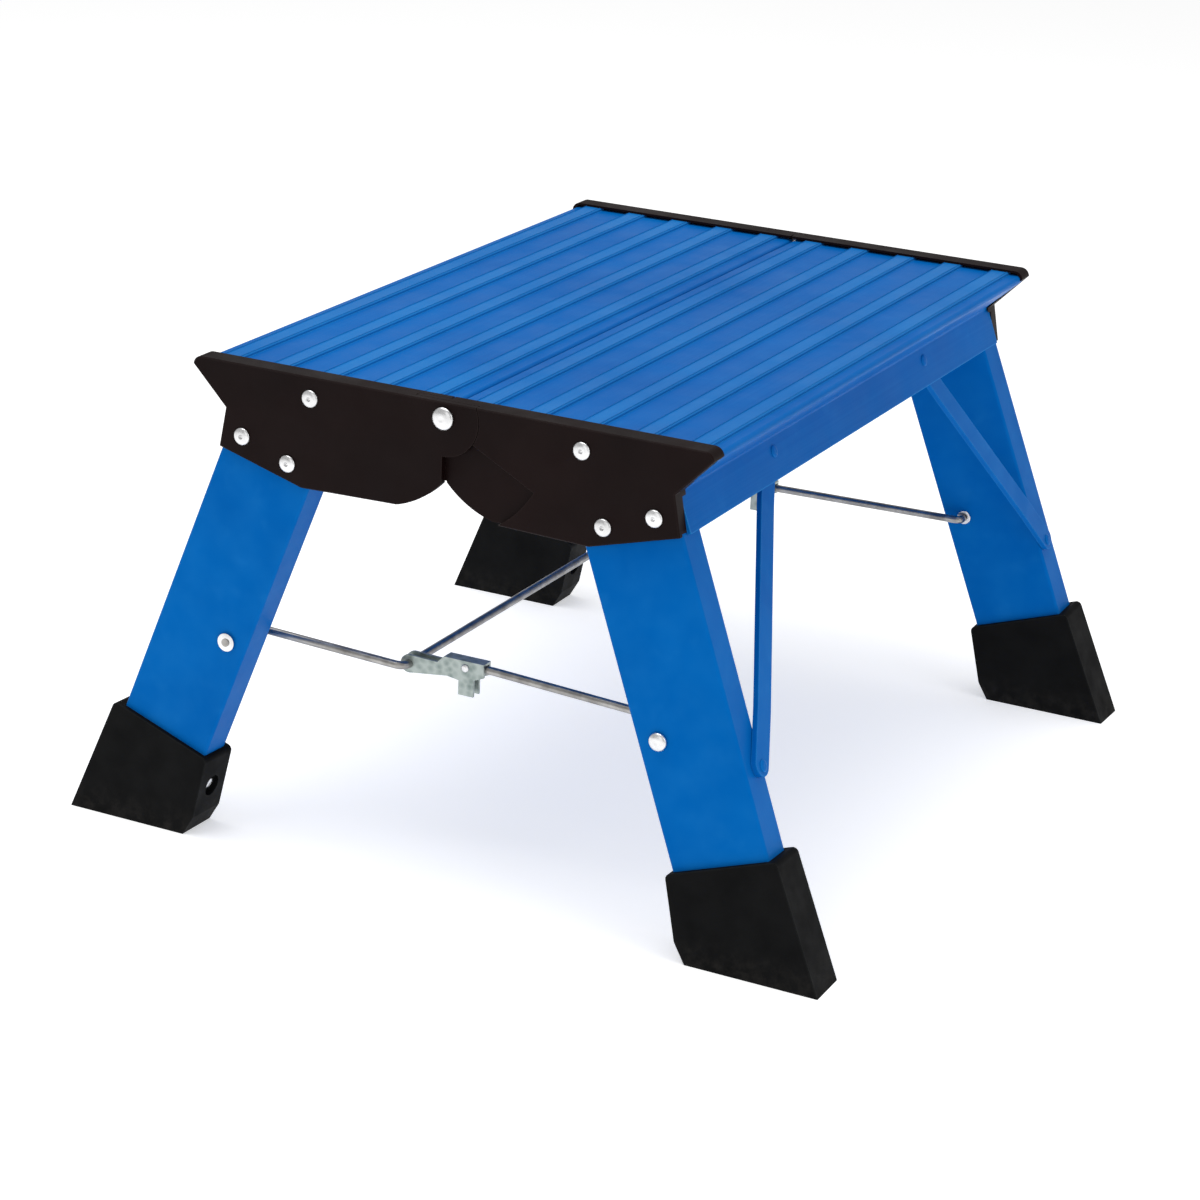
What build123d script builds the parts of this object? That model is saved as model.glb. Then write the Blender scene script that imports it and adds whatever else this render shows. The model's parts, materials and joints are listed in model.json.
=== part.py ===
from build123d import *
import math
import os

# Low folding sawhorse (step trestle). Two platform halves, each with two end caps, two box legs,
# feet and braces, hinge about a long axis just under the top and fold towards each other.
# Wire stays under the platform hold them open.
#
# Frame: origin on the floor under the middle of the platform. +X across the platform, towards
# the right half; +Y along it, towards the far end; +Z up. Millimetres.
# Corner pieces are drawn at the near right corner and mirrored to the other corners.

os.makedirs("parts", exist_ok=True)

# ---------------------------------------------------------------- driving dimensions
top_height = 268.5          # floor to the top of the end caps
half_length = 218.0         # middle to the outer face of an end cap
half_width = 149.5          # middle to the tip of an end cap
hinge_height = 260.0        # floor to the hinge axis
seam_gap = 0.4              # middle to each half's seam edge

leg_angle = 20.5            # sideways lean of the legs from vertical, in degrees
leg_splay = 2.4             # lengthwise lean, towards the platform's ends
leg_width = 55.0            # rectangular tube, wide side seen from the end
leg_depth = 20.0
leg_wall = 1.8
leg_top = 250.5
leg_foot_z = 25.0           # a leg's outer corner, inside the foot
shoulder_x = 133.5          # where a leg's outer face leaves the end cap
shoulder_z = 222.0

sheet = 2.0                 # wall of the platform extrusion
waist_z = 243.5             # where the nosing tapers in to the skirt
nosing_z = 264.0            # height of the nosing's tip
skirt_foot_z = 222.5
rib_pitch = 30.0
rib_count = 5               # ribs on each half
rib_width = 11.0
rib_height = 1.5

wire = 2.25                 # radius of the stay wire
stay_pivot_x = 127.8        # stay pivots in the legs
stay_pivot_z = 114.4
bail_bar_x = -35.0          # the bail's long bar, on the left half's side
bail_bar_z = 111.0

fit = 0.05                  # radial clearance of a rivet or a turning pin in its hole
gap = 0.3                   # clearance between faces of separate pieces

# ---------------------------------------------------------------- derived dimensions
lean = math.radians(leg_angle)
splay = math.radians(leg_splay)
across = leg_width / math.cos(lean)      # width of a leg along X

cap_plate = 8.0                          # solid plate of an end cap
cap_rim = 12.0                           # plate and the rim over the platform's end
cap_skin = 1.5                           # rim standing outside the platform's skin
cap_bottom = 209.5
cap_at_leg = 4.5                         # plate left in front of a leg's top end
panel_half_length = half_length - cap_plate
panel_top = top_height - cap_skin - rib_height
skirt_face = gap + sheet                 # skirt's outer face, measured out from the leg's

lap_layer = cap_plate / 2 - gap / 2      # thickness of each cap half at the hinge
ear_radius = 20.0
lap_radius = 60.0
fold_sweep = 60.0                        # degrees kept free for the other half's lobe
notch_apex = 225.4                       # height of the notch between the two lobes
lobe_start = 27.0                        # middle to the flat bottom of a lobe

pin_radius = 3.0
counterbore_radius = 6.0
counterbore_depth = 2.2
washer_thickness = 0.65
rivet_radius = 2.4
small_rivet_radius = 1.6
port_x = 78.2                            # rivet that joins cap and platform
port_z = 257.0
port_radius = 5.5
leg_rivet_seats = ((119.2, 229.7), (91.5, 219.8))

brace_width = 13.0
brace_thickness = 3.0
brace_top_y = 103.0                      # middle to the brace's top rivet
brace_top_z = 236.0
brace_foot_z = 108.0

foot_wall = 2.8
foot_rivet_z = 27.0

bail_plane = 192.0                       # middle to the bail's arms
link_plane = bail_plane - 9.0             # middle to the link and the inner end of a stay
link_sheet = 1.5
link_rivet_radius = 1.0


def outer_x(z, inset=0.0):
    """X of a leg's outer face at height z, moved inwards by inset across the face."""
    return shoulder_x + (shoulder_z - z) * math.tan(lean) - inset / math.cos(lean)


def near(distance):
    """Sketch plane at a distance in front of the middle: X to the right, Z up."""
    return Plane.XZ.offset(distance)


def leg_front(z):
    """Distance from the middle to a leg's front face at height z."""
    return half_length - cap_at_leg + (leg_top - z) * math.tan(splay)


def leg_back(z):
    """Distance from the middle to a leg's back face at height z."""
    return leg_front(z) - leg_depth


def leg_plane(depth=0.0):
    """Sketch plane of a leg's front face, or depth behind it: X to the right, Z up the leg."""
    outward = (0, -math.cos(splay), math.sin(splay))
    face = Plane(origin=(0, -leg_front(0), 0), x_dir=(1, 0, 0), z_dir=outward)
    return face.offset(-depth)


def corner(part, side, end):
    """Mirror a piece drawn at the near right corner to the named corner."""
    if side == "left":
        part = part.mirror(Plane.YZ)
    if end == "far":
        part = part.mirror(Plane.XZ)
    return part


def save(part, name):
    """Label a finished piece and write it as its own STEP file."""
    part.label = name
    export_step(part, f"parts/{name}.step")


# ---------------------------------------------------------------- fasteners
def rivet(head_radius, head_height, shank_radius, grip, tail_radius=0.0, tail_length=0.0):
    """Domed rivet: head above its seat at the origin, shank and tail down -Z."""
    rim = head_height * 0.25
    with BuildPart() as piece:
        with BuildSketch(Plane.XZ):
            with BuildLine():
                ThreePointArc(
                    (0, head_height),
                    (head_radius * 0.72, head_height * 0.74),
                    (head_radius, rim),
                )
                Polyline(
                    (head_radius, rim),
                    (head_radius, 0),
                    (shank_radius, 0),
                    (shank_radius, -grip),
                    (0, -grip),
                    (0, head_height),
                )
            make_face()
        revolve(axis=Axis.Z)
        if tail_length:
            with Locations((0, 0, -grip)):
                Cylinder(tail_radius, tail_length, align=(Align.CENTER, Align.CENTER, Align.MAX))
    return piece.part


def seat(x, y, z, out):
    """Place of a rivet whose head points along out."""
    return Plane(origin=(x, y, z), z_dir=out).location


def rivet_group(piece, seats, side, ends=("near", "far")):
    """The same rivet at every seat, at both ends of one side."""
    with BuildPart() as pieces:
        for place in seats:
            for end in ends:
                add(corner(piece.moved(place), side, end))
    return pieces.part


to_near = (0, -1, 0)
skirt_normal = (math.cos(lean), 0, math.sin(lean))
brace_rivet_seat = seat(
    outer_x(brace_top_z, -skirt_face), -brace_top_y, brace_top_z, skirt_normal
)
brace_foot_y = leg_back(brace_foot_z) + 6.0   # middle to its bottom rivet, on the leg's outer face
brace_foot_seat = seat(
    outer_x(brace_foot_z, -brace_thickness), -brace_foot_y, brace_foot_z, skirt_normal
)


# ---------------------------------------------------------------- platform half
def platform_half():
    """Ribbed extrusion with a seam lip, a nosing, a leaning skirt and a screw port.

    The lip stays above the hinge axis, so the two halves' lips part as they fold.
    """
    web_width = 3.0
    web_height = 4.0
    rib_edge = 0.9
    rib_places = [((rib + 0.5) * rib_pitch, panel_top) for rib in range(rib_count)]
    with BuildPart() as panel:
        with BuildSketch(Plane.XZ):
            with BuildLine():
                skin = FilletPolyline(
                    (seam_gap, hinge_height + 0.2),
                    (seam_gap, panel_top),
                    (half_width - cap_skin, panel_top),
                    (half_width - cap_skin, nosing_z - 2.0),
                    (outer_x(waist_z, -skirt_face), waist_z),
                    (outer_x(skirt_foot_z, -skirt_face), skirt_foot_z),
                    radius=sheet + 0.2,
                )
                offset(skin, amount=sheet, side=Side.RIGHT)
            make_face()
            with Locations(rib_places):
                Rectangle(rib_width, 2 * rib_height)
            with Locations((port_x, panel_top - sheet + 0.5)):
                Rectangle(web_width, web_height, align=(Align.CENTER, Align.MAX))
            with Locations((port_x, port_z)):
                Circle(port_radius)
                Circle(rivet_radius + fit, mode=Mode.SUBTRACT)
        extrude(amount=panel_half_length, both=True)
        rib_faces = panel.faces().filter_by(Axis.Z).group_by(Axis.Z)[-1]
        fillet(rib_faces.edges().filter_by(Axis.Y), radius=rib_edge)
        with Locations(brace_rivet_seat, brace_rivet_seat.mirror(Plane.XZ)):
            Cylinder(small_rivet_radius + fit, 3 * sheet, mode=Mode.SUBTRACT)
    return panel.part


# ---------------------------------------------------------------- end cap half
def lap_region(front, depth):
    """Space that the other half's ear and lobe pass through as the platform folds."""
    sweep = math.radians(fold_sweep)
    past_seam = -5.0
    edge = (lap_radius * math.sin(sweep), hinge_height - lap_radius * math.cos(sweep))
    middle = (lap_radius * math.sin(sweep / 2), hinge_height - lap_radius * math.cos(sweep / 2))
    low = (past_seam, hinge_height - lap_radius)
    with BuildPart() as region:
        with BuildSketch(near(front)):
            with Locations((0, hinge_height)):
                Circle(ear_radius + gap)
            with BuildLine():
                Line((past_seam, hinge_height), low)
                ThreePointArc(low, middle, edge)
                Line(edge, (past_seam, hinge_height))
            make_face()
        extrude(amount=-depth)
    return region.part


def end_cap(side, end):
    """Moulded end cap; the left half's hinge ear takes the front layer, the right's the rear."""
    beyond = 20.0               # how far cutting sketches run past the edge they open
    slip = 0.1                  # clearance round the platform's end
    corner_cut = 2.7            # keeps the rim whole round the nosing's filleted corner
    tip_radius = 5.0
    tongue_above = 0.8          # tongue's lower edge, above the notch
    tongue_width = 1.6
    rear = half_length - cap_plate
    ear_front = half_length if side == "left" else rear + lap_layer
    cut_front = rear + lap_layer + gap if side == "left" else half_length + gap
    cut_depth = lap_layer + 2 * gap
    with BuildPart() as cap:
        with BuildSketch(near(half_length)):
            with BuildLine():
                Polyline(
                    (seam_gap, notch_apex),
                    (seam_gap, top_height),
                    (half_width - tip_radius, top_height),
                )
                ThreePointArc(
                    (half_width - tip_radius, top_height),
                    (half_width - tip_radius * 0.2, top_height - tip_radius * 0.4),
                    (half_width, nosing_z),
                )
                Polyline(
                    (half_width, nosing_z),
                    (outer_x(waist_z, -skirt_face - cap_skin), waist_z),
                    (outer_x(shoulder_z), shoulder_z),
                    (outer_x(cap_bottom) - across + 4.0, cap_bottom - 1.5),
                    (lobe_start, cap_bottom),
                )
                ThreePointArc(
                    (lobe_start, cap_bottom),
                    (lobe_start * 0.5, cap_bottom + 5.5),
                    (seam_gap, notch_apex),
                )
            make_face()
        extrude(amount=-cap_rim)
        # room for the platform's end, inside the rim
        with BuildSketch(near(rear)):
            with BuildLine():
                Polyline(
                    (-beyond, cap_bottom - beyond),
                    (-beyond, top_height - cap_skin + slip),
                    (half_width - cap_skin + slip - corner_cut, top_height - cap_skin + slip),
                    (half_width - cap_skin + slip, top_height - cap_skin + slip - corner_cut),
                    (half_width - cap_skin + slip, nosing_z - 3.0),
                    (outer_x(waist_z, -skirt_face - cap_skin / 2), waist_z),
                    (outer_x(shoulder_z - beyond, -skirt_face - beyond / 4), shoulder_z - beyond),
                    close=True,
                )
            make_face()
        extrude(amount=cap_plate - cap_rim, mode=Mode.SUBTRACT)
        # seat for the leg's top end
        with BuildSketch(leg_plane(-gap)):
            with BuildLine():
                Polyline(
                    (outer_x(leg_top + gap, -gap), leg_top + gap),
                    (outer_x(leg_top + gap, leg_width + gap), leg_top + gap),
                    (outer_x(cap_bottom - beyond, leg_width + gap), cap_bottom - beyond),
                    (outer_x(cap_bottom - beyond, -gap), cap_bottom - beyond),
                    close=True,
                )
            make_face()
        extrude(amount=-cap_rim, mode=Mode.SUBTRACT)
        # hinge: cut the other half's layer away, then add this half's ear and the pin's hole
        add(lap_region(cut_front, cut_depth), mode=Mode.SUBTRACT)
        with BuildSketch(near(ear_front)):
            with Locations((0, hinge_height)):
                Circle(ear_radius)
            with Locations((0, top_height + ear_radius)):
                Rectangle(4 * ear_radius, 2 * ear_radius, mode=Mode.SUBTRACT)
            if side == "right":
                # tongue behind the left half's lobe, so that the seam between the lobes is closed
                with Locations((0, notch_apex + tongue_above)):
                    Rectangle(tongue_width, ear_radius, align=(Align.CENTER, Align.MIN))
        extrude(amount=-lap_layer)
        with BuildSketch(near(half_length)):
            with Locations((0, hinge_height)):
                Circle(pin_radius + fit)
            with Locations((port_x, port_z), *leg_rivet_seats):
                Circle(rivet_radius + fit)
        extrude(amount=-cap_rim, mode=Mode.SUBTRACT)
        if side == "right":
            with BuildSketch(near(rear + counterbore_depth)):
                with Locations((0, hinge_height)):
                    Circle(counterbore_radius)
            extrude(amount=-cap_rim, mode=Mode.SUBTRACT)
        front_edges = cap.faces().filter_by(Axis.Y).sort_by(Axis.Y)[0].edges()
        outline = front_edges.filter_by(GeomType.LINE).filter_by(lambda edge: edge.length > 15.0)
        chamfer(outline, length=0.6)
    return corner(cap.part, side, end)


# ---------------------------------------------------------------- leg and foot
leg_direction = Axis(
    (0, 0, 0),
    (math.sin(lean), -math.cos(lean) * math.sin(splay), -math.cos(lean) * math.cos(splay)),
)
foot_rivet_seat = seat(
    outer_x(foot_rivet_z, leg_width + 3.2),
    -(leg_front(foot_rivet_z) - leg_depth / 2),
    foot_rivet_z,
    (-math.cos(lean), 0, -math.sin(lean)),
)


def leg_outline(inset, low, high):
    """Leg's face between two heights on its outer side, square at the foot, level at the top."""
    drop = (leg_width - 2 * inset) * math.sin(lean)
    return [
        (outer_x(high, inset), high),
        (outer_x(high, leg_width - inset), high),
        (outer_x(low - drop, leg_width - inset), low - drop),
        (outer_x(low, inset), low),
    ]


def leg(side, end):
    """Box-section leg with holes for its rivets and for the stay's pivot."""
    with BuildPart() as tube:
        with BuildSketch(leg_plane()):
            with BuildLine():
                Polyline(*leg_outline(0, leg_foot_z, leg_top), close=True)
            make_face()
        extrude(amount=-leg_depth)
        fillet(tube.edges().filter_by(leg_direction), radius=1.6)
        with BuildSketch(leg_plane(leg_wall)):
            with BuildLine():
                Polyline(*leg_outline(leg_wall, leg_foot_z - 20.0, leg_top + 20.0), close=True)
            make_face()
        extrude(amount=-(leg_depth - 2 * leg_wall), mode=Mode.SUBTRACT)
        with BuildSketch(near(half_length)):
            with Locations(*leg_rivet_seats):
                Circle(rivet_radius + fit)
        extrude(amount=-(cap_at_leg + leg_depth / 2), mode=Mode.SUBTRACT)
        with BuildSketch(near(half_length + 20.0)):
            with Locations((stay_pivot_x, stay_pivot_z)):
                Circle(wire + fit)
        extrude(amount=-60.0, mode=Mode.SUBTRACT)
        with Locations(foot_rivet_seat, brace_foot_seat):
            Cylinder(small_rivet_radius + fit, 20.0, mode=Mode.SUBTRACT)
    return corner(tube.part, side, end)


def foot(side, end):
    """Moulded shoe on the leg's end, flared outwards, with a flat sole."""
    top_outer_z = 67.0
    top_inner_z = 46.0
    toe_z = 11.0
    toe_x = 145.0
    sole_inner_x = 151.5
    sole_outer_x = 226.5
    below = 3.0              # drawn this far under the floor, then cut off level with it
    flare = 5.5
    edge_radius = 3.0
    middle_y = -(leg_front(top_inner_z) - leg_depth / 2)
    with BuildPart() as shoe:
        with BuildSketch(leg_plane(-foot_wall)):
            with BuildLine():
                Polyline(
                    (outer_x(top_outer_z, -flare), top_outer_z),
                    (outer_x(top_inner_z, leg_width + 3.0), top_inner_z),
                    (toe_x, toe_z),
                    (sole_inner_x, 0.0),
                    (sole_inner_x, -below),
                    (sole_outer_x, -below),
                    close=True,
                )
            make_face()
        extrude(amount=-(leg_depth + 2 * foot_wall))
        split(bisect_by=Plane.XY, keep=Keep.TOP)
        crosswise = shoe.edges().filter_by(lambda edge: abs(edge.center().Y - middle_y) < 3.0)
        fillet(crosswise.filter_by(lambda edge: edge.center().Z > below), radius=edge_radius)
        with BuildSketch(leg_plane()):
            with BuildLine():
                Polyline(*leg_outline(-0.1, leg_foot_z - 0.1, top_outer_z + 50.0), close=True)
            make_face()
        extrude(amount=-leg_depth, mode=Mode.SUBTRACT)
        with Locations(foot_rivet_seat):
            Cylinder(small_rivet_radius + fit, 20.0, mode=Mode.SUBTRACT)
            Cylinder(6.0, 10.0, align=(Align.CENTER, Align.CENTER, Align.MIN), mode=Mode.SUBTRACT)
    return corner(shoe.part, side, end)


# ---------------------------------------------------------------- brace
def brace(side, end):
    """Flat bar from the inside of the skirt to the outside of the leg, set over between them."""
    rise = brace_top_z - brace_foot_z
    top = Vector(outer_x(brace_top_z), -brace_top_y, brace_top_z)
    low = Vector(outer_x(brace_foot_z), -brace_foot_y, brace_foot_z)
    along = top - low
    length = along.length
    side_view = Plane(origin=low, x_dir=along, z_dir=along.cross(Vector(skirt_normal)))
    half = brace_thickness / 2
    lower = half
    upper = gap - half
    end_past = brace_width / 2
    leaves_leg = 0.17         # the bar is set over evenly between these parts of its length
    meets_skirt = 0.83
    with BuildPart() as bar:
        with BuildSketch(side_view):
            with BuildLine():
                bottom = Polyline(
                    (-end_past, lower - half),
                    (length * leaves_leg, lower - half),
                    (length * meets_skirt, upper - half),
                    (length + end_past, upper - half),
                )
                offset(bottom, amount=brace_thickness, side=Side.LEFT)
            make_face()
        extrude(amount=brace_width / 2, both=True)
        fillet(bar.edges().filter_by(Axis((0, 0, 0), skirt_normal)), radius=brace_width / 2 - 0.2)
        with Locations(brace_rivet_seat, brace_foot_seat):
            Cylinder(small_rivet_radius + fit, 16.0, mode=Mode.SUBTRACT)
    return corner(bar.part, side, end)


# ---------------------------------------------------------------- hinge pins
def hinge_pin(end):
    """Domed pin through both ears, peened over a washer in the rear ear's counterbore."""
    grip = cap_plate - counterbore_depth + washer_thickness + 0.15
    pin = rivet(6.0, 2.6, pin_radius, grip, 5.0, 1.1)
    return corner(pin.moved(seat(0, -half_length, hinge_height, to_near)), "right", end)


def hinge_washer(end):
    """Washer under the pin's peened tail."""
    floor = half_length - cap_plate + counterbore_depth
    with BuildPart() as washer:
        with BuildSketch(near(floor - 0.1)):
            with Locations((0, hinge_height)):
                Circle(counterbore_radius - 0.4)
                Circle(pin_radius + fit, mode=Mode.SUBTRACT)
        extrude(amount=-washer_thickness)
    return corner(washer.part, "right", end)


# ---------------------------------------------------------------- stays
def left_stay():
    """U-shaped wire bail: pivot stubs in the left legs, two arms and a bar along the platform."""
    bend = 5.0
    leg_bend = 3.6
    stub_y = -(leg_front(stay_pivot_z) + 2.0)
    half_path = [
        (-stay_pivot_x, stub_y, stay_pivot_z),
        (-stay_pivot_x, -bail_plane, stay_pivot_z),
        (bail_bar_x, -bail_plane, bail_bar_z),
    ]
    other_half = [(x, -y, z) for x, y, z in reversed(half_path)]
    with BuildPart() as bail:
        with BuildLine():
            route = FilletPolyline(*half_path, *other_half, radius=(leg_bend, bend, bend, leg_bend))
        with BuildSketch(Plane(origin=half_path[0], z_dir=(0, 1, 0))):
            Circle(wire)
        sweep(path=route)
    return bail.part


def stay_cap(side, end):
    """Push-on cap over the end of the stay wire on the leg's front face."""
    with BuildPart() as cap:
        add(rivet(5.0, 3.2, 4.0, 0.3))
        with Locations((0, 0, -0.3)):
            Cylinder(wire + 0.02, 2.6, align=(Align.CENTER, Align.CENTER, Align.MIN), mode=Mode.SUBTRACT)
    place = seat(stay_pivot_x, -(leg_front(stay_pivot_z) + 2 * gap), stay_pivot_z, to_near)
    return corner(cap.part.moved(place), side, end)


inner_end = (-9.0, 115.6)       # x, z where the right stay starts inside its link
link_rivet_x = -1.0
link_half_inside = wire + fit
link_half_outside = link_half_inside + link_sheet


def right_stay(end):
    """Wire from inside the link to the back of the right leg, ending in a turned stub."""
    start_x, wire_z = inner_end
    stub_length = 4.5
    straight_to_x = 14.0
    route_points = [
        (start_x, -link_plane, wire_z),
        (straight_to_x, -link_plane, wire_z),
        (stay_pivot_x, -bail_plane, stay_pivot_z),
        (stay_pivot_x, -(bail_plane + stub_length), stay_pivot_z),
    ]
    with BuildPart() as stay:
        with BuildLine():
            route = FilletPolyline(*route_points, radius=3.0)
        with BuildSketch(Plane(origin=route_points[0], z_dir=route % 0)):
            Circle(wire)
        sweep(path=route)
        with BuildSketch(near(link_plane + link_half_inside)):
            with Locations((link_rivet_x, wire_z)):
                Circle(link_rivet_radius + fit)
        extrude(amount=-2 * link_half_inside, mode=Mode.SUBTRACT)
    return corner(stay.part, "right", end)


def stay_link(end):
    """Folded clip: two cheeks with an eye round the bail's bar, a bridge and a finger tab."""
    eye = (bail_bar_x, bail_bar_z)
    eye_radius = 5.0
    tab_foot_z = 100.0
    tab_left = -5.0
    tab_right = 4.0
    cheek_end_x = 10.0
    bridge_left = -14.0
    bridge_top = inner_end[1] + wire + 1.65
    with BuildPart() as clip:
        with BuildSketch(near(link_plane + link_half_outside)):
            with Locations(eye):
                Circle(eye_radius)
            with BuildLine():
                Polyline(
                    (bail_bar_x, bail_bar_z - eye_radius),
                    (tab_left - 7.0, bail_bar_z - 2.0),
                    (tab_left, bail_bar_z - 3.0),
                    (tab_left, tab_foot_z),
                    (tab_right, tab_foot_z),
                    (tab_right, bail_bar_z - 1.5),
                    (cheek_end_x, bail_bar_z + 1.0),
                    (cheek_end_x, bridge_top),
                    (bridge_left, bridge_top),
                    (bridge_left - 4.0, bridge_top - 4.0),
                    (bail_bar_x, bail_bar_z + eye_radius),
                    close=True,
                )
            make_face()
        extrude(amount=-2 * link_half_outside)
        # hollow between the cheeks, open below the bridge
        with BuildSketch(near(link_plane + link_half_inside)):
            with Locations((0, bridge_top - 1.4)):
                Rectangle(120.0, 40.0, align=(Align.CENTER, Align.MAX))
        extrude(amount=-2 * link_half_inside, mode=Mode.SUBTRACT)
        with BuildSketch(near(link_plane + link_half_outside)):
            with Locations(eye):
                Circle(wire + fit)
            with Locations((link_rivet_x, inner_end[1])):
                Circle(link_rivet_radius + fit)
        extrude(amount=-2 * link_half_outside, mode=Mode.SUBTRACT)
    return corner(clip.part, "right", end)


def link_rivet(end):
    """Small rivet through the clip's cheeks and the stay wire."""
    piece = rivet(2.2, 1.0, link_rivet_radius, 2 * link_half_outside, 2.0, 0.7)
    place = seat(link_rivet_x, -(link_plane + link_half_outside), inner_end[1], to_near)
    return corner(piece.moved(place), "right", end)


# ---------------------------------------------------------------- write the pieces
panel = platform_half()
save(panel, "right_platform")
save(panel.mirror(Plane.YZ), "left_platform")

for end in ("near", "far"):
    for side in ("left", "right"):
        save(end_cap(side, end), f"{end}_{side}_end_cap")
        save(leg(side, end), f"{end}_{side}_leg")
        save(foot(side, end), f"{end}_{side}_foot")
        save(brace(side, end), f"{end}_{side}_brace")
    save(hinge_pin(end), f"{end}_hinge_pin")
    save(hinge_washer(end), f"{end}_hinge_washer")
    save(right_stay(end), f"{end}_right_stay")
    save(stay_link(end), f"{end}_stay_link")
    save(link_rivet(end), f"{end}_link_rivet")

cap_rivet = rivet(4.7, 1.8, rivet_radius, cap_plate + 4.0)
leg_rivet = rivet(4.7, 1.8, rivet_radius, cap_at_leg + leg_wall + 0.2, 3.4, 3.0)
brace_rivet = rivet(3.2, 1.0, small_rivet_radius, sheet + gap + brace_thickness, 2.6, 1.5)
brace_foot_rivet = rivet(3.2, 1.0, small_rivet_radius, brace_thickness + gap + leg_wall, 2.6, 1.5)
foot_rivet = rivet(3.2, 1.2, small_rivet_radius, 5.0, 2.6, 1.5)
stay_rivet = rivet(5.0, 2.6, wire, leg_depth + 2 * gap, 4.2, 1.0)

cap_seats = [seat(port_x, -half_length, port_z, to_near)]
leg_seats = [seat(x, -half_length, z, to_near) for x, z in leg_rivet_seats]
for side in ("left", "right"):
    save(rivet_group(cap_rivet, cap_seats, side), f"{side}_platform_rivets")
    save(rivet_group(leg_rivet, leg_seats, side), f"{side}_leg_rivets")
    save(rivet_group(brace_rivet, [brace_rivet_seat], side), f"{side}_brace_top_rivets")
    save(rivet_group(brace_foot_rivet, [brace_foot_seat], side), f"{side}_brace_foot_rivets")
    save(rivet_group(foot_rivet, [foot_rivet_seat], side), f"{side}_foot_rivets")

save(left_stay(), "left_stay")
with BuildPart() as left_stay_caps:
    for end in ("near", "far"):
        add(stay_cap("left", end))
save(left_stay_caps.part, "left_stay_caps")
stay_seats = [seat(stay_pivot_x, -(leg_front(stay_pivot_z) + gap), stay_pivot_z, to_near)]
save(rivet_group(stay_rivet, stay_seats, "right"), "right_stay_rivets")
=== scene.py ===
import json
import math

import bmesh
import bpy
import numpy as np
from mathutils import Matrix, Vector

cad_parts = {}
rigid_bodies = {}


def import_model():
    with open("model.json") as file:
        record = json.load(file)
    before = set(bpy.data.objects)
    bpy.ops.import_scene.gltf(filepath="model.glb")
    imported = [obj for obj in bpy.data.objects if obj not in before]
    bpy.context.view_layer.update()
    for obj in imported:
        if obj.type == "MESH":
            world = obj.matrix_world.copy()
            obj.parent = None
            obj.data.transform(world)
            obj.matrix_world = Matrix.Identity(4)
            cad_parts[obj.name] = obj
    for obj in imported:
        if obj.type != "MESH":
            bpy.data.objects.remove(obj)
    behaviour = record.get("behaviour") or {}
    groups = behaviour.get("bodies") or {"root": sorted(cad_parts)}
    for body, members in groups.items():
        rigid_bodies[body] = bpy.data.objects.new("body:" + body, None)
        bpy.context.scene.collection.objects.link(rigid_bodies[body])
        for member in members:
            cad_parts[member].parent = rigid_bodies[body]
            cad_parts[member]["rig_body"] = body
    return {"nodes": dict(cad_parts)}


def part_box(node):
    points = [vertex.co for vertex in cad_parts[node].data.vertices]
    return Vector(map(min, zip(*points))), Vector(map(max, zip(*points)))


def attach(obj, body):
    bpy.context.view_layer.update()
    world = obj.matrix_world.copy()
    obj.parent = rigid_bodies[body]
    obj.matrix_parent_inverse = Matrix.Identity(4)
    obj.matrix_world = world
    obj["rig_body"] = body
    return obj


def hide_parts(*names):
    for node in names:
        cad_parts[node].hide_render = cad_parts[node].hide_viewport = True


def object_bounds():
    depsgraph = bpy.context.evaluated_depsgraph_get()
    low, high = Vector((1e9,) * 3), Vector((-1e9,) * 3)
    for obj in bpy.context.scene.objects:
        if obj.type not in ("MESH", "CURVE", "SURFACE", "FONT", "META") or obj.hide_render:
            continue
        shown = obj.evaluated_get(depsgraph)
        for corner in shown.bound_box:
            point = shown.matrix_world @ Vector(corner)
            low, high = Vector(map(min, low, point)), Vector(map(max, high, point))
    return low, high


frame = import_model()
cad_low, cad_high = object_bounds()

MM = 0.001
ENDS = ("near", "far")
SIDES = ("left", "right")
WELD = 1e-6                  # points closer than this are one point
ON_LEVEL = 1e-5              # points this close in height are on one level
SAME_RADIUS = 2e-5           # points this close in radius or along an axis are on one ring
SOFTENED_SHARP_DEG = 50.0    # a softened piece stays sharp only where faces meet above this


# ------------------------------------------------------------------ mesh helpers
def body_of_node(node):
    """The CAD body a node belongs to."""
    return frame["nodes"][node]["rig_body"]


def new_piece(name, bm, node, material, sharp_deg=32.0):
    """Makes a mesh piece that rides with a CAD node's body, smooth except at its sharp edges."""
    mesh = bpy.data.meshes.new(name)
    bm.to_mesh(mesh)
    bm.free()
    mesh.shade_smooth()
    mesh.set_sharp_from_angle(angle=math.radians(sharp_deg))
    mesh.materials.append(material)
    piece = bpy.data.objects.new(name, mesh)
    bpy.context.scene.collection.objects.link(piece)
    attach(piece, body_of_node(node))
    return piece


def clean_copy(node):
    """A CAD node's mesh with its seams welded and its flat faces joined."""
    bm = bmesh.new()
    bm.from_mesh(frame["nodes"][node].data)
    bmesh.ops.remove_doubles(bm, verts=bm.verts, dist=WELD)
    bmesh.ops.dissolve_limit(bm, angle_limit=math.radians(0.5), verts=bm.verts, edges=bm.edges)
    return bm


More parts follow.
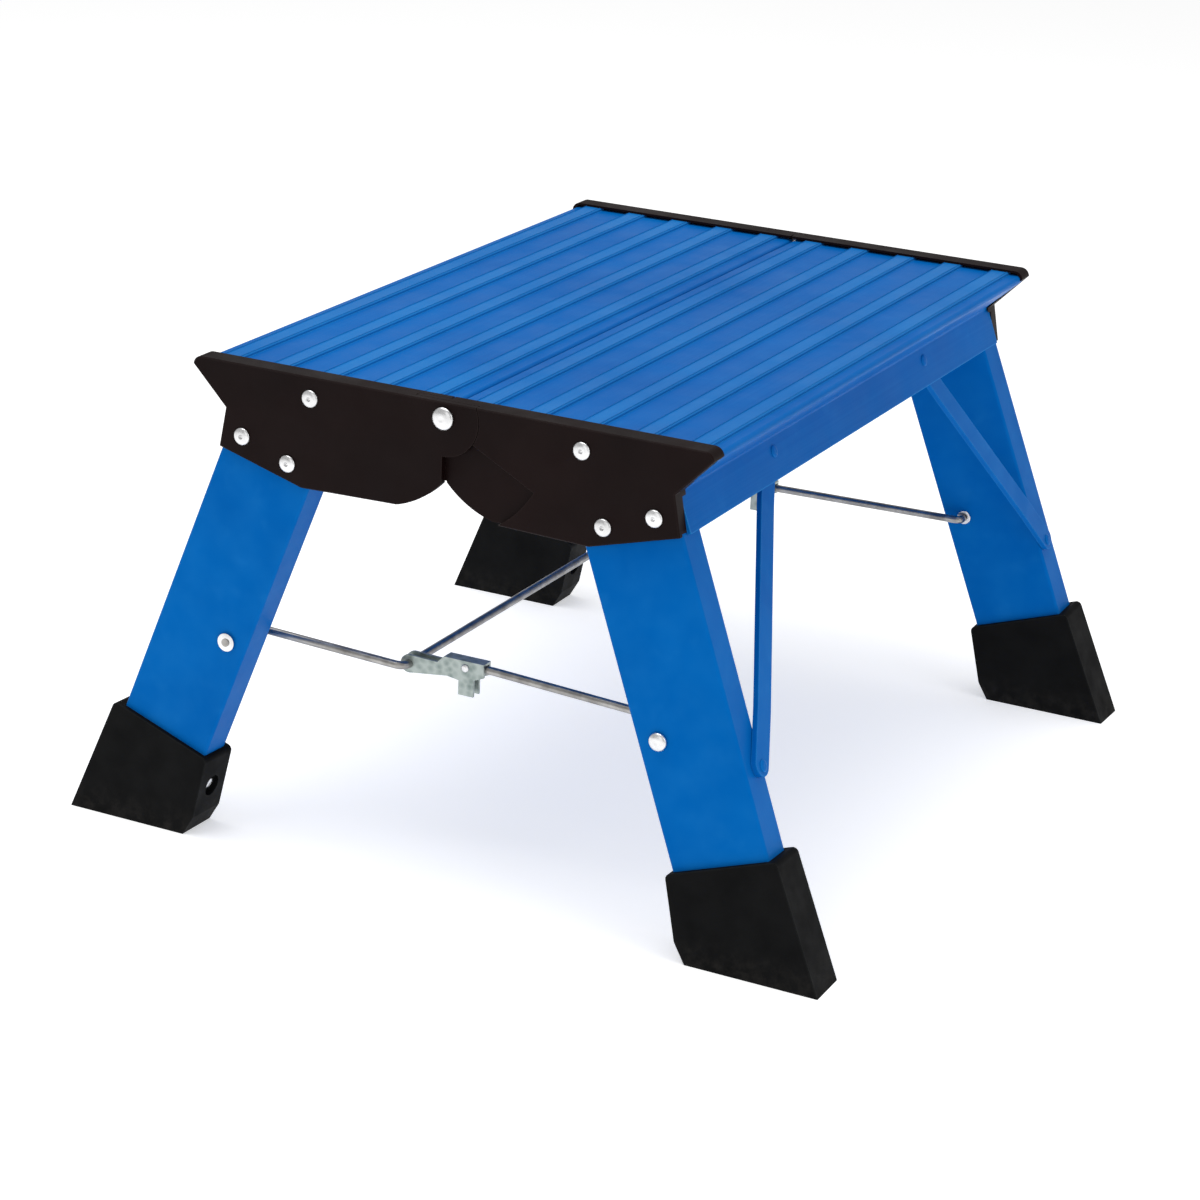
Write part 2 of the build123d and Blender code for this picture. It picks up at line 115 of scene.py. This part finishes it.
def soften(piece, width, angle_deg=38.0, segments=2):
    """Rounds a piece's hard edges and evens out its shading, and keeps the result in its mesh."""
    bevel = piece.modifiers.new("bevel", "BEVEL")
    bevel.width = width
    bevel.segments = segments
    bevel.limit_method = "ANGLE"
    bevel.angle_limit = math.radians(angle_deg)
    bevel.use_clamp_overlap = True
    bevel.miter_outer = "MITER_ARC"
    apply_modifiers(piece)
    piece.data.shade_smooth()
    piece.data.set_sharp_from_angle(angle=math.radians(SOFTENED_SHARP_DEG))
    weighted = piece.modifiers.new("weighted", "WEIGHTED_NORMAL")
    weighted.keep_sharp = True
    apply_modifiers(piece)


def apply_modifiers(piece):
    """Replaces a piece's mesh by its evaluated one."""
    depsgraph = bpy.context.evaluated_depsgraph_get()
    evaluated = bpy.data.meshes.new_from_object(piece.evaluated_get(depsgraph))
    old = piece.data
    piece.modifiers.clear()
    piece.data = evaluated
    evaluated.name = piece.name
    bpy.data.meshes.remove(old)


def finer(node, name, material, width):
    """Adds a piece that stands for a CAD node, with its edges rounded."""
    piece = new_piece(name, clean_copy(node), node, material)
    soften(piece, width)
    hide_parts(node)


def repaint(node, material):
    """Gives a CAD node that is shown as it is a better material."""
    materials = frame["nodes"][node].data.materials
    materials.clear()
    materials.append(material)


def prism(bm, section, near_y, far_y):
    """Closed bar along Y with the given (x, z) section."""
    rings = [[bm.verts.new((x, y, z)) for x, z in section] for y in (near_y, far_y)]
    for point in range(len(section)):
        after = (point + 1) % len(section)
        bm.faces.new((rings[0][point], rings[0][after], rings[1][after], rings[1][point]))
    bm.faces.new(rings[0])
    bm.faces.new(rings[1])


def lathe(bm, profile, seat, out, segments=40):
    """Turns a profile of (radius, height) points about an axis through seat, along out."""
    side = out.orthogonal().normalized()
    other = out.cross(side)
    rings = []
    for radius, height in profile:
        centre = seat + out * height
        if radius < WELD:
            rings.append([bm.verts.new(centre)])
            continue
        ring = []
        for step in range(segments):
            turn = 2 * math.pi * step / segments
            arm = side * math.cos(turn) + other * math.sin(turn)
            ring.append(bm.verts.new(centre + arm * radius))
        rings.append(ring)
    for below, above in zip(rings, rings[1:]):
        for step in range(segments):
            after = (step + 1) % segments
            corners = [
                below[step % len(below)],
                below[after % len(below)],
                above[after % len(above)],
                above[step % len(above)],
            ]
            unique = list(dict.fromkeys(corners))
            if len(unique) > 2:
                bm.faces.new(unique)


def islands(node):
    """Points of each separate solid in a CAD node."""
    bm = bmesh.new()
    bm.from_mesh(frame["nodes"][node].data)
    bmesh.ops.remove_doubles(bm, verts=bm.verts, dist=WELD)
    bm.verts.index_update()
    seen, found = set(), []
    for first in bm.verts:
        if first.index in seen:
            continue
        seen.add(first.index)
        stack, solid = [first], []
        while stack:
            vert = stack.pop()
            solid.append(vert.co.copy())
            for edge in vert.link_edges:
                other = edge.other_vert(vert)
                if other.index not in seen:
                    seen.add(other.index)
                    stack.append(other)
        found.append(solid)
    bm.free()
    return found


# ------------------------------------------------------------------ node materials
class Shader:
    """A node material in object coordinates, which are the row frame's metres."""

    def __init__(self, name):
        self.material = bpy.data.materials.new(name)
        self.material.use_nodes = True
        self.tree = self.material.node_tree
        self.bsdf = self.tree.nodes["Principled BSDF"]
        self.place = self.node("ShaderNodeTexCoord").outputs["Object"]

    def node(self, kind, **settings):
        made = self.tree.nodes.new(kind)
        for key, value in settings.items():
            setattr(made, key, value)
        return made

    def link(self, source, target):
        self.tree.links.new(source, target)

    def put(self, target, value):
        """Links an output, or sets a number, on an input."""
        if isinstance(value, bpy.types.NodeSocket):
            self.link(value, target)
        else:
            target.default_value = value

    def stretched(self, scale):
        """Object coordinates scaled by a different number along each axis."""
        mapping = self.node("ShaderNodeMapping")
        mapping.inputs["Scale"].default_value = scale
        self.link(self.place, mapping.inputs["Vector"])
        return mapping.outputs["Vector"]

    def noise(self, scale, detail=3.0, roughness=0.55, where=None):
        noise = self.node("ShaderNodeTexNoise")
        noise.inputs["Scale"].default_value = scale
        noise.inputs["Detail"].default_value = detail
        noise.inputs["Roughness"].default_value = roughness
        self.link(where or self.place, noise.inputs["Vector"])
        return noise.outputs["Fac"]

    def cells(self, scale, where=None):
        voronoi = self.node("ShaderNodeTexVoronoi")
        voronoi.inputs["Scale"].default_value = scale
        self.link(where or self.place, voronoi.inputs["Vector"])
        return voronoi.outputs["Distance"]

    def remap(self, value, low, high, to_low=0.0, to_high=1.0, smooth=False):
        """Maps low..high to to_low..to_high, clamped."""
        remap = self.node("ShaderNodeMapRange")
        if smooth:
            remap.interpolation_type = "SMOOTHSTEP"
        self.link(value, remap.inputs["Value"])
        for name, number in (("From Min", low), ("From Max", high), ("To Min", to_low), ("To Max", to_high)):
            remap.inputs[name].default_value = number
        return remap.outputs["Result"]

    def math(self, operation, first, second=0.0):
        made = self.node("ShaderNodeMath", operation=operation)
        self.put(made.inputs[0], first)
        self.put(made.inputs[1], second)
        return made.outputs["Value"]

    def height(self):
        """Height above the floor at rest."""
        parts = self.node("ShaderNodeSeparateXYZ")
        self.link(self.place, parts.inputs["Vector"])
        return parts.outputs["Z"]

    def mix(self, factor, first, second):
        """Colour mixed from two colours or outputs."""
        mix = self.node("ShaderNodeMix", data_type="RGBA")
        self.put(mix.inputs["Factor"], factor)
        for socket, colour in ((mix.inputs["A"], first), (mix.inputs["B"], second)):
            self.put(socket, colour if isinstance(colour, bpy.types.NodeSocket) else (*colour, 1.0))
        return mix.outputs["Result"]

    def edges(self, radius):
        """1 on convex and concave edges, 0 on flat faces."""
        bevel = self.node("ShaderNodeBevel", samples=4)
        bevel.inputs["Radius"].default_value = radius
        normal = self.node("ShaderNodeNewGeometry").outputs["Normal"]
        dot = self.node("ShaderNodeVectorMath", operation="DOT_PRODUCT")
        self.link(bevel.outputs["Normal"], dot.inputs[0])
        self.link(normal, dot.inputs[1])
        return self.remap(dot.outputs["Value"], 0.99, 0.90)

    def bump(self, layers):
        """Stacks bumps of (height output, distance in metres, strength)."""
        normal = None
        for height, distance, strength in layers:
            bump = self.node("ShaderNodeBump")
            bump.inputs["Distance"].default_value = distance
            bump.inputs["Strength"].default_value = strength
            self.link(height, bump.inputs["Height"])
            if normal:
                self.link(normal, bump.inputs["Normal"])
            normal = bump.outputs["Normal"]
        self.link(normal, self.bsdf.inputs["Normal"])

    def finish(self, colour, roughness, metallic=0.0, specular=0.5, **sockets):
        self.put(self.bsdf.inputs["Base Color"], colour)
        self.put(self.bsdf.inputs["Roughness"], roughness)
        self.bsdf.inputs["Metallic"].default_value = metallic
        self.bsdf.inputs["Specular IOR Level"].default_value = specular
        for name, value in sockets.items():
            self.bsdf.inputs[name.replace("_", " ")].default_value = value
        return self.material


BLUE = (0.0, 0.125, 0.455)
BLUE_DEEP = (0.0, 0.098, 0.385)
BLUE_PALE = (0.03, 0.27, 0.64)


def powder_coat(name, grain, edge_highlight, crest=None):
    """Satin blue powder coat: orange peel, faint draw lines and painted highlights on the edges.

    grain is the lines' noise scale along each axis, the next number how strong the painted highlight
    on the edges is, and crest the height of the rib tops, which get a painted highlight too.
    """
    shader = Shader(name)
    cloud = shader.noise(7.0, detail=4.0)
    mottle = shader.noise(60.0, detail=2.0)
    lines = shader.noise(1.0, detail=2.0, where=shader.stretched(grain))
    colour = shader.mix(shader.remap(cloud, 0.35, 0.65), BLUE_DEEP, BLUE)
    colour = shader.mix(shader.remap(lines, 0.35, 0.75, 0.0, 0.09), colour, BLUE_PALE)
    colour = shader.mix(shader.remap(mottle, 0.58, 0.80, 0.0, 0.10), colour, BLUE_PALE)
    if crest:
        # Painted highlight: the rib tops are mixed towards the pale blue.
        crest_highlight = shader.remap(shader.height(), crest - 0.4 * MM, crest)
        crest_highlight = shader.math("MULTIPLY", crest_highlight, shader.remap(cloud, 0.25, 0.75, 0.12, 0.36))
        colour = shader.mix(crest_highlight, colour, BLUE_PALE)
    # Painted highlight: edges and creases are mixed towards the pale blue.
    colour = shader.mix(shader.math("MULTIPLY", shader.edges(0.0012), edge_highlight), colour, BLUE_PALE)
    peel = shader.noise(900.0, detail=2.0)
    shader.bump([(lines, 0.00006, 0.5), (peel, 0.00005, 0.55)])
    roughness = shader.remap(shader.noise(35.0), 0.3, 0.7, 0.34, 0.47)
    return shader.finish(colour, roughness, specular=0.05, Specular_Tint=(0.10, 0.55, 1.0, 1.0))


def moulded_plastic():
    """Near-black moulded plastic with a fine eroded grain and painted highlights on its edges."""
    shader = Shader("cap_plastic")
    cloud = shader.noise(14.0, detail=4.0)
    colour = shader.mix(shader.remap(cloud, 0.3, 0.7), (0.0045, 0.0012, 0.0011), (0.0085, 0.0028, 0.0025))
    # Painted highlight: edges are mixed towards a lighter brown-black.
    colour = shader.mix(shader.math("MULTIPLY", shader.edges(0.0010), 0.5), colour, (0.026, 0.017, 0.016))
    grain = shader.noise(1800.0, detail=3.0, roughness=0.7)
    flow = shader.noise(25.0, detail=2.0)
    shader.bump([(flow, 0.0004, 0.12), (grain, 0.00007, 0.6)])
    roughness = shader.remap(shader.noise(50.0), 0.3, 0.7, 0.42, 0.58)
    return shader.finish(colour, roughness, specular=0.085)


def moulded_rubber():
    """Matt black rubber, dusty towards the floor, with painted highlights on its edges."""
    shader = Shader("foot_rubber")
    cloud = shader.noise(22.0, detail=4.0)
    colour = shader.mix(shader.remap(cloud, 0.3, 0.7), (0.0016, 0.0017, 0.0019), (0.0042, 0.0044, 0.0047))
    dust = shader.math(
        "MULTIPLY",
        shader.remap(shader.height(), 0.0, 0.022, 0.55, 0.0, smooth=True),
        shader.remap(shader.noise(160.0, detail=5.0, roughness=0.7), 0.42, 0.68),
    )
    colour = shader.mix(dust, colour, (0.022, 0.020, 0.018))
    # Painted highlight: edges are mixed towards a lighter grey.
    colour = shader.mix(shader.math("MULTIPLY", shader.edges(0.0014), 0.4), colour, (0.016, 0.019, 0.019))
    grain = shader.noise(1100.0, detail=3.0, roughness=0.7)
    shader.bump([(cloud, 0.0005, 0.15), (grain, 0.0001, 0.5)])
    roughness = shader.remap(shader.noise(70.0), 0.3, 0.7, 0.55, 0.75)
    return shader.finish(colour, roughness, specular=0.075)


def bare_metal(name, dark, light, rough, scratch, metallic=1.0, spots=None):
    """Bare or plated metal with fine scratches, cloudy tone and, if asked, plating spangle.

    rough is the lowest and highest roughness, scratch the noise's scale along each axis.
    """
    shader = Shader(name)
    tone = shader.noise(120.0, detail=4.0)
    if spots:
        spangle = shader.math("MULTIPLY", shader.cells(spots), 0.6)
        tone = shader.math("ADD", shader.math("MULTIPLY", tone, 0.6), spangle)
    colour = shader.mix(shader.remap(tone, 0.3, 0.75), dark, light)
    scratches = shader.noise(1.0, detail=3.0, roughness=0.6, where=shader.stretched(scratch))
    pits = shader.noise(1500.0, detail=2.0)
    shader.bump([(scratches, 0.00005, 0.5), (pits, 0.00003, 0.4)])
    roughness = shader.remap(scratches, 0.3, 0.7, *rough)
    return shader.finish(colour, roughness, metallic=metallic)


draw_lines = (900.0, 6.0, 900.0)
no_lines = (55.0, 55.0, 55.0)
rib_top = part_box("left_platform")[1].z
# The number after the grain sets how strong the painted highlight on the edges is.
PLATFORM_PAINT = powder_coat("platform_paint", draw_lines, edge_highlight=0.85, crest=rib_top)
LEG_PAINT = powder_coat("leg_paint", no_lines, edge_highlight=0.4)
BRACE_PAINT = powder_coat("brace_paint", no_lines, edge_highlight=0.4)
CAP_PLASTIC = moulded_plastic()
FOOT_RUBBER = moulded_rubber()
FASTENER = bare_metal(
    "fastener_aluminium",
    dark=(0.66, 0.66, 0.66),
    light=(0.88, 0.88, 0.89),
    rough=(0.20, 0.38),
    scratch=(700.0, 700.0, 700.0),
)
WIRE = bare_metal(
    "stay_steel",
    dark=(0.24, 0.23, 0.22),
    light=(0.48, 0.47, 0.45),
    rough=(0.28, 0.44),
    scratch=(250.0, 250.0, 1400.0),
)
ZINC = bare_metal(
    "link_zinc",
    dark=(0.20, 0.25, 0.235),
    light=(0.40, 0.45, 0.43),
    rough=(0.34, 0.50),
    scratch=(300.0, 900.0, 900.0),
    metallic=0.85,
    spots=260.0,
)


# ------------------------------------------------------------------ fasteners
def fasteners(node):
    """Seat, direction and sizes of each fastener in a CAD node."""
    found = []
    for points in islands(node):
        cloud = np.array([tuple(point) for point in points])
        values, vectors = np.linalg.eigh(np.cov((cloud - cloud.mean(0)).T))
        odd_one = 0 if values[1] - values[0] > values[2] - values[1] else 2
        out = vectors[:, odd_one]
        centre = cloud.mean(0)
        along = (cloud - centre) @ out
        radii = np.linalg.norm(cloud - centre - np.outer(along, out), axis=1)
        rim = along[radii > radii.max() - SAME_RADIUS]
        if rim.mean() < (along.min() + along.max()) / 2:
            out, along, rim = -out, -along, -rim
        seat = rim.min()
        depth = seat - along.min()
        shank = radii[np.abs(along - seat) < SAME_RADIUS].min()
        tail = radii[along < seat - 0.85 * depth].max()
        thick = along[(radii > tail - SAME_RADIUS) & (along < seat - 0.1 * MM)]
        found.append(
            {
                "seat": Vector(centre + out * seat),
                "out": Vector(out),
                "head": radii.max(),
                "rise": along.max() - seat,
                "shank": shank,
                "depth": depth,
                "tail": tail,
                "tail_from": seat - thick.max(),
            }
        )
    return found


def shank_profile(size):
    """Tail and shank, from the tail's end up to the head's seat."""
    profile = [(0.0, -size["depth"])]
    if size["tail"] > size["shank"] * 1.1:
        length = size["depth"] - size["tail_from"]
        profile += [
            (size["tail"] * 0.72, -size["depth"]),
            (size["tail"] * 0.94, -size["depth"] + length * 0.12),
            (size["tail"], -size["depth"] + length * 0.4),
            (size["tail"] * 0.97, -size["tail_from"] - length * 0.2),
            (size["tail"] * 0.88, -size["tail_from"]),
            (size["shank"], -size["tail_from"]),
        ]
    else:
        profile += [
            (size["shank"] * 0.8, -size["depth"]),
            (size["shank"], -size["depth"] + size["shank"] * 0.2),
        ]
    return profile + [(size["shank"], 0.0)]


def dome(head, rise, from_height, to_radius, steps=9):
    """Quarter-ellipse dome from the head's rim up to its crown."""
    points = []
    for step in range(steps + 1):
        turn = math.pi / 2 * step / steps
        radius = to_radius + (head - to_radius) * math.cos(turn)
        points.append((radius, from_height + (rise - from_height) * math.sin(turn)))
    return points


def blind_head(size):
    """Head of a blind rivet: thin flange, dome, and the broken mandrel down its hole."""
    head, rise = size["head"], size["rise"]
    hole = head * 0.27
    return [
        (head * 0.95, 0.0),
        (head, rise * 0.10),
        *dome(head, rise, rise * 0.24, hole),
        (hole * 0.90, rise * 0.94),
        (hole * 0.84, rise * 0.52),
        (hole * 0.74, rise * 0.46),
        (hole * 0.40, rise * 0.60),
        (0.0, rise * 0.58),
    ]


def solid_head(size):
    """Plain domed head with a small flat left by the setting tool."""
    head, rise = size["head"], size["rise"]
    flat = head * 0.22
    return [
        (head * 0.95, 0.0),
        (head, rise * 0.10),
        *dome(head, rise, rise * 0.26, flat, steps=11),
        (flat * 0.86, rise * 0.985),
        (0.0, rise * 0.975),
    ]


def capped_head(size):
    """Push-on cap: a thin flange with a dome pressed up from it."""
    head, rise = size["head"], size["rise"]
    crown = head * 0.74
    return [
        (head * 0.97, 0.0),
        (head, rise * 0.05),
        (head, rise * 0.16),
        (head * 0.96, rise * 0.21),
        (crown * 1.08, rise * 0.23),
        (crown, rise * 0.30),
        *dome(crown, rise, rise * 0.45, 0.0),
    ]


def fastener_piece(node, head_profile, material=FASTENER):
    """Adds turned fasteners that stand for a CAD node's."""
    bm = bmesh.new()
    for size in fasteners(node):
        lathe(bm, shank_profile(size) + head_profile(size), size["seat"], size["out"])
    bmesh.ops.recalc_face_normals(bm, faces=bm.faces)
    piece = new_piece(f"{node}_turned", bm, node, material, sharp_deg=40.0)
    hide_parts(node)


for side in SIDES:
    for group in ("platform_rivets", "leg_rivets", "foot_rivets"):
        fastener_piece(f"{side}_{group}", blind_head)
    for group in ("brace_top_rivets", "brace_foot_rivets"):
        fastener_piece(f"{side}_{group}", solid_head, BRACE_PAINT)
for end in ENDS:
    fastener_piece(f"{end}_hinge_pin", solid_head)
    fastener_piece(f"{end}_link_rivet", solid_head)
fastener_piece("right_stay_rivets", solid_head)


# ------------------------------------------------------------------ platform
def rib_tops(node):
    """Flat top of each rib as (low X, high X), and the height they share."""
    points = [vert.co for vert in frame["nodes"][node].data.vertices]
    top = max(point.z for point in points)
    across = sorted({round(point.x, 5) for point in points if point.z > top - ON_LEVEL})
    return list(zip(across[::2], across[1::2])), top


def grip_beads(side):
    """Fine half-round beads along the ribs, between the end caps' rims."""
    node = f"{side}_platform"
    ribs, top = rib_tops(node)
    clear = 0.3 * MM
    near_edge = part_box(f"near_{side}_end_cap")[1].y + clear
    far_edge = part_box(f"far_{side}_end_cap")[0].y - clear
    beads = 4
    height = 0.42 * MM
    sunk = 0.1 * MM
    steps = 6
    bm = bmesh.new()
    for low, high in ribs:
        pitch = (high - low) / beads
        for bead in range(beads):
            centre = low + (bead + 0.5) * pitch
            half = pitch * 0.30
            section = [(centre - half, top - sunk)]
            for step in range(steps + 1):
                turn = math.pi * step / steps
                section.append((centre - half * math.cos(turn), top + height * math.sin(turn)))
            section.append((centre + half, top - sunk))
            prism(bm, section, near_edge, far_edge)
    bmesh.ops.recalc_face_normals(bm, faces=bm.faces)
    new_piece(f"{side}_grip_beads", bm, node, PLATFORM_PAINT)


for side in SIDES:
    finer(f"{side}_platform", f"{side}_platform_panel", PLATFORM_PAINT, 0.3 * MM)
    grip_beads(side)


# ------------------------------------------------------------------ end caps, legs, braces
for end in ENDS:
    for side in SIDES:
        corner = f"{end}_{side}"
        finer(f"{corner}_end_cap", f"{corner}_cap_moulding", CAP_PLASTIC, 0.5 * MM)
        finer(f"{corner}_brace", f"{corner}_brace_bar", BRACE_PAINT, 0.4 * MM)
        repaint(f"{corner}_leg", LEG_PAINT)


# ------------------------------------------------------------------ feet
def foot_moulding(end, side):
    """Rounded shoe with a tread of cross grooves cut into its sole."""
    node = f"{end}_{side}_foot"
    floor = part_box(node)[0].z
    bm = clean_copy(node)
    sole = [vert.co for vert in bm.verts if vert.co.z < floor + ON_LEVEL]
    sole_x = (min(point.x for point in sole), max(point.x for point in sole))
    sole_y = (min(point.y for point in sole), max(point.y for point in sole))
    piece = new_piece(f"{node}_moulding", bm, node, FOOT_RUBBER)
    soften(piece, 1.3 * MM, segments=3)
    grooves = 8
    depth = 1.6 * MM
    wide = 3.0 * MM
    border = 3.2 * MM
    pitch = (sole_x[1] - sole_x[0] - 2 * border) / grooves
    cutter = bmesh.new()
    for groove in range(grooves):
        x = sole_x[0] + border + (groove + 0.5) * pitch
        section = [
            (x - wide / 2, floor - MM),
            (x + wide / 2, floor - MM),
            (x + wide / 2, floor + depth * 0.6),
            (x + wide / 4, floor + depth),
            (x - wide / 4, floor + depth),
            (x - wide / 2, floor + depth * 0.6),
        ]
        prism(cutter, section, sole_y[0] + border, sole_y[1] - border)
    bmesh.ops.recalc_face_normals(cutter, faces=cutter.faces)
    mesh = bpy.data.meshes.new("tread_cutter")
    cutter.to_mesh(mesh)
    cutter.free()
    tool = bpy.data.objects.new("tread_cutter", mesh)
    bpy.context.scene.collection.objects.link(tool)
    cut = piece.modifiers.new("tread", "BOOLEAN")
    cut.operation = "DIFFERENCE"
    cut.solver = "EXACT"
    cut.object = tool
    apply_modifiers(piece)
    bpy.data.objects.remove(tool)
    piece.data.set_sharp_from_angle(angle=math.radians(40.0))
    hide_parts(node)


for end in ENDS:
    for side in SIDES:
        foot_moulding(end, side)


# ------------------------------------------------------------------ stays
repaint("left_stay", WIRE)
for end in ENDS:
    repaint(f"{end}_right_stay", WIRE)
    repaint(f"{end}_hinge_washer", FASTENER)
    finer(f"{end}_stay_link", f"{end}_link_clip", ZINC, 0.25 * MM)


def stay_end_caps():
    """Push-on caps over the ends of the left stay."""
    node = "left_stay_caps"
    bm = bmesh.new()
    for size in fasteners(node):
        lathe(bm, [(0.0, 0.0), *capped_head(size)], size["seat"], size["out"])
    bmesh.ops.recalc_face_normals(bm, faces=bm.faces)
    name = "left_stay_push_caps"
    piece = new_piece(name, bm, node, FASTENER, sharp_deg=40.0)
    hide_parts(node)


stay_end_caps()


# ------------------------------------------------------------------ floor, light and camera
def studio():
    """White, faintly glowing floor under white surroundings."""
    half = 30.0
    corners = [(-half, -half, 0), (half, -half, 0), (half, half, 0), (-half, half, 0)]
    mesh = bpy.data.meshes.new("floor")
    mesh.from_pydata(corners, [], [(0, 1, 2, 3)])
    floor = bpy.data.objects.new("floor", mesh)
    floor.location.z = cad_low.z
    bpy.context.scene.collection.objects.link(floor)
    paint = bpy.data.materials.new("floor_paint")
    paint.use_nodes = True
    surface = paint.node_tree.nodes["Principled BSDF"].inputs
    surface["Base Color"].default_value = (0.88, 0.88, 0.88, 1.0)
    surface["Roughness"].default_value = 0.9
    surface["Specular IOR Level"].default_value = 0.0
    surface["Emission Color"].default_value = (1.0, 1.0, 1.0, 1.0)
    surface["Emission Strength"].default_value = 0.46
    mesh.materials.append(paint)
    world = bpy.data.worlds.new("studio")
    bpy.context.scene.world = world
    world.use_nodes = True
    world.node_tree.nodes["Background"].inputs["Color"].default_value = (1.0, 1.0, 1.0, 1.0)
    world.node_tree.nodes["Background"].inputs["Strength"].default_value = 0.50


def soft_light(name, place, aim, size, watts):
    """Square area light pointed at a place."""
    data = bpy.data.lights.new(name, "AREA")
    data.shape = "SQUARE"
    data.size = size
    data.energy = watts
    light = bpy.data.objects.new(name, data)
    light.location = place
    light.rotation_mode = "QUATERNION"
    light.rotation_quaternion = (Vector(aim) - Vector(place)).to_track_quat("-Z", "Y")
    bpy.context.scene.collection.objects.link(light)


def camera():
    """Camera in front, to the right and above, rolled slightly."""
    azimuth, elevation, roll = (math.radians(angle) for angle in (26.41, 20.04, 2.36))
    place = Vector((0.7765, -1.5974, 0.7436))
    forward = Vector(
        (
            -math.sin(azimuth) * math.cos(elevation),
            math.cos(azimuth) * math.cos(elevation),
            -math.sin(elevation),
        )
    )
    level = Vector((math.cos(azimuth), math.sin(azimuth), 0.0))
    upright = level.cross(forward)
    right = math.cos(roll) * level + math.sin(roll) * upright
    up = math.cos(roll) * upright - math.sin(roll) * level
    data = bpy.data.cameras.new("camera")
    data.sensor_width = 36.0
    data.lens = 99.1
    made = bpy.data.objects.new("camera", data)
    turn = Matrix((right, up, -forward)).transposed()
    made.rotation_mode = "QUATERNION"
    made.rotation_quaternion = turn.to_quaternion()
    made.location = place
    bpy.context.scene.collection.objects.link(made)
    bpy.context.scene.camera = made


studio()
middle = (cad_low + cad_high) / 2
reach = (cad_high - cad_low).length
soft_light("overhead", middle + Vector((-0.4, -0.3, 2.6)) * reach, middle, 2.2 * reach, 22.0)
soft_light("front_fill", middle + Vector((0.6, -3.0, 0.9)) * reach, middle, 1.8 * reach, 3.2)
soft_light("right_fill", middle + Vector((3.0, -0.6, 1.2)) * reach, middle, 1.8 * reach, 8.0)
camera()
bpy.context.scene.view_settings.view_transform = "Standard"
